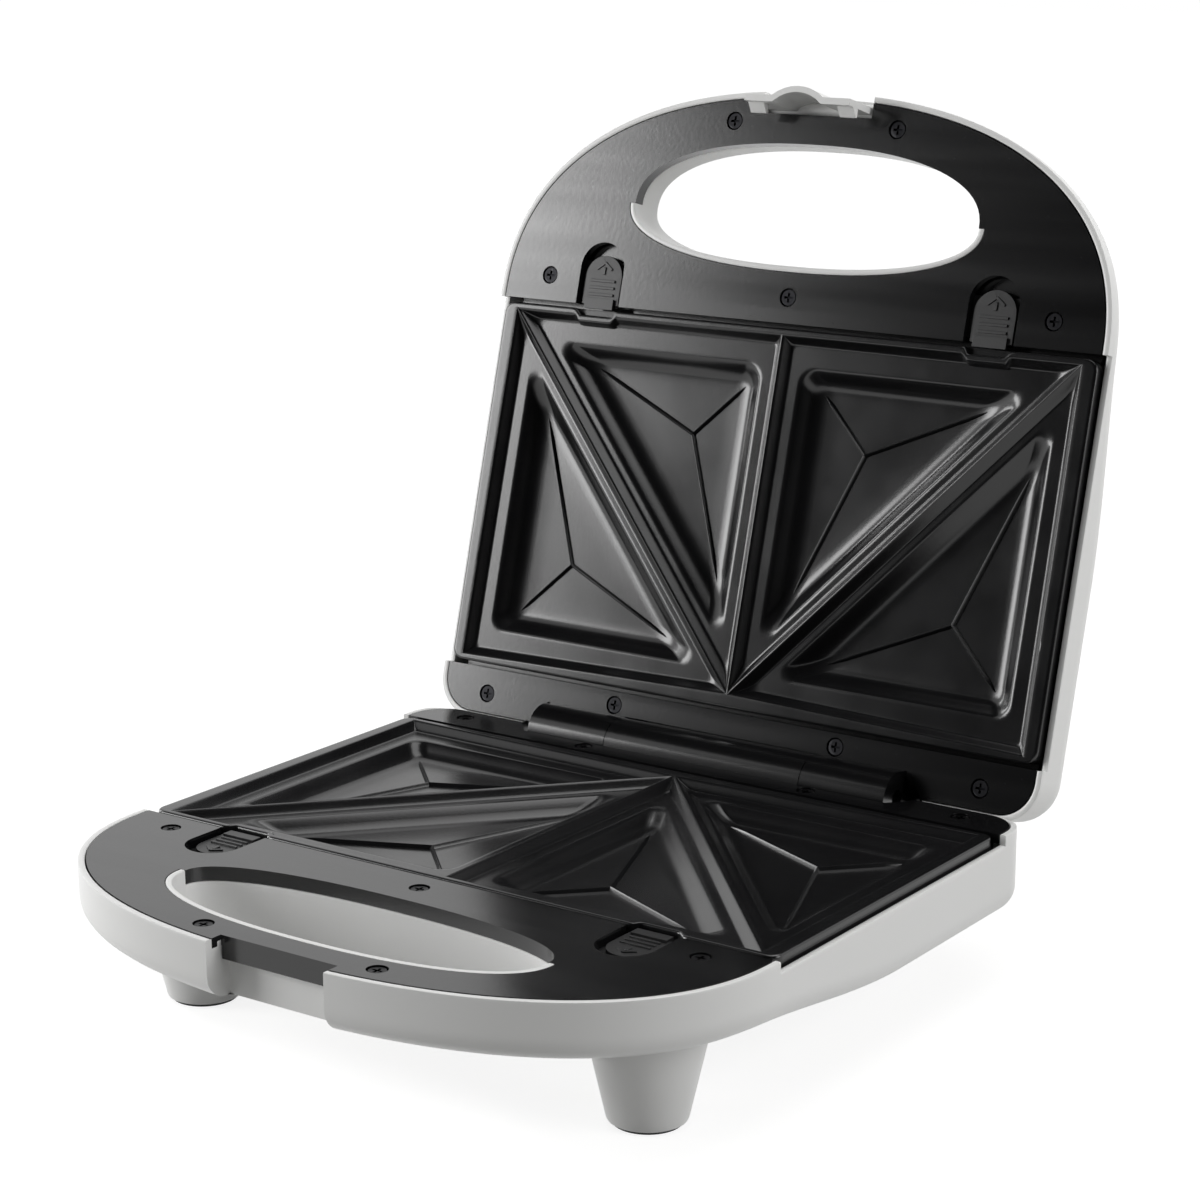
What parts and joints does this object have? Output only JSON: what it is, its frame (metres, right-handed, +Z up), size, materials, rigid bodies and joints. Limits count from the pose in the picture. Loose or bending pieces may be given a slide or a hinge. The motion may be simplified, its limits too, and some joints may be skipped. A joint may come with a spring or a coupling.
{
  "type": "sandwich toaster",
  "caption": "Open countertop sandwich toaster: hinged lid with handle hole and latch clip, detachable pocketed plates, sliding release buttons, feet.",
  "frame": {"origin": "on the table plane under the foot pads, midway between the front of the base and the rearmost point of the open lid", "axes": "+Z up, +Y from the latch side to the hinge side, +X to the right for someone facing the latch side"},
  "size_m": [0.234, 0.2966, 0.2668],
  "materials": {
    "white_plastic": "satin moulded white polypropylene",
    "black_plastic": "satin moulded black heat-proof plastic",
    "non_stick": "cast aluminium with a dark non-stick coating",
    "tray_steel": "bright rolled steel sheet",
    "heater_steel": "heat-darkened steel tube",
    "ceramic": "unglazed ceramic",
    "screw_steel": "dark plated steel",
    "spring_steel": "drawn steel wire",
    "pin_steel": "turned steel",
    "lead_sleeve": "woven glass-fibre sleeve",
    "terminal_plastic": "moulded cream plastic",
    "fuse_metal": "drawn metal can",
    "rubber": "moulded black rubber",
    "red_lens": "clear red moulding",
    "green_lens": "clear green moulding",
    "lamp_glass": "small glass glow lamp"
  },
  "bodies": {
    "base": {"base_shell": "white_plastic", "base_floor": "white_plastic", "base_bezel": "black_plastic", "base_reflector": "tray_steel", "base_heater": "heater_steel", "base_heater_ends": "ceramic", "base_saddles": "tray_steel", "base_tray_screws": "screw_steel", "base_screws": "screw_steel", "base_leads": "lead_sleeve", "base_spring_left": "spring_steel", "base_spring_right": "spring_steel", "base_feet": "white_plastic", "foot_pads": "rubber", "hinge_pin_left": "pin_steel", "hinge_pin_right": "pin_steel", "cord_gland": "rubber", "terminal_block": "terminal_plastic", "thermostat": "ceramic", "thermal_fuse": "fuse_metal"},
    "base_plate": {"base_plate": "non_stick"},
    "base_button_left": {"base_button_left": "black_plastic"},
    "base_button_right": {"base_button_right": "black_plastic"},
    "lid": {"lid_shell": "white_plastic", "lid_bezel": "black_plastic", "lid_reflector": "tray_steel", "lid_heater": "heater_steel", "lid_heater_ends": "ceramic", "lid_saddles": "tray_steel", "lid_tray_screws": "screw_steel", "lid_screws": "screw_steel", "lid_leads": "lead_sleeve", "lid_spring_left": "spring_steel", "lid_spring_right": "spring_steel", "latch_pin": "pin_steel", "power_lens": "red_lens", "ready_lens": "green_lens", "power_lamp": "lamp_glass", "ready_lamp": "lamp_glass"},
    "lid_plate": {"lid_plate": "non_stick"},
    "lid_button_left": {"lid_button_left": "black_plastic"},
    "lid_button_right": {"lid_button_right": "black_plastic"},
    "latch": {"latch": "white_plastic"}
  },
  "joints": [
    {"name": "lid_hinge", "type": "hinge", "parent": "base", "child": "lid", "pos_m": [0, 0.07536, 0.0487], "axis": [1, 0, 0], "range_deg": [0, 105.5]},
    {"name": "latch_pivot", "type": "hinge", "parent": "lid", "child": "latch", "pos_m": [0, 0.14003, 0.25793], "axis": [-1, 0, 0], "range_deg": [0, 24]},
    {"name": "base_plate_lift", "type": "slide", "parent": "base", "child": "base_plate", "axis": [0, 0, -1], "range_m": [-0.02, 0]},
    {"name": "lid_plate_lift", "type": "slide", "parent": "lid", "child": "lid_plate", "axis": [0, 0.9636, -0.2672], "range_m": [-0.02, 0]},
    {"name": "base_button_left_slide", "type": "slide", "parent": "base", "child": "base_button_left", "axis": [0, -1, 0], "range_m": [0, 0.004], "stiffness_N_per_m": 300, "springref_m": -0.002, "deforming": ["base_spring_left"]},
    {"name": "lid_button_left_slide", "type": "slide", "parent": "lid", "child": "lid_button_left", "axis": [0, 0.2672, 0.9636], "range_m": [0, 0.004], "stiffness_N_per_m": 300, "springref_m": -0.002, "deforming": ["lid_spring_left"]},
    {"name": "base_button_right_slide", "type": "slide", "parent": "base", "child": "base_button_right", "axis": [0, -1, 0], "range_m": [0, 0.004], "stiffness_N_per_m": 300, "springref_m": -0.002, "deforming": ["base_spring_right"]},
    {"name": "lid_button_right_slide", "type": "slide", "parent": "lid", "child": "lid_button_right", "axis": [0, 0.2672, 0.9636], "range_m": [0, 0.004], "stiffness_N_per_m": 300, "springref_m": -0.002, "deforming": ["lid_spring_right"]}
  ]
}
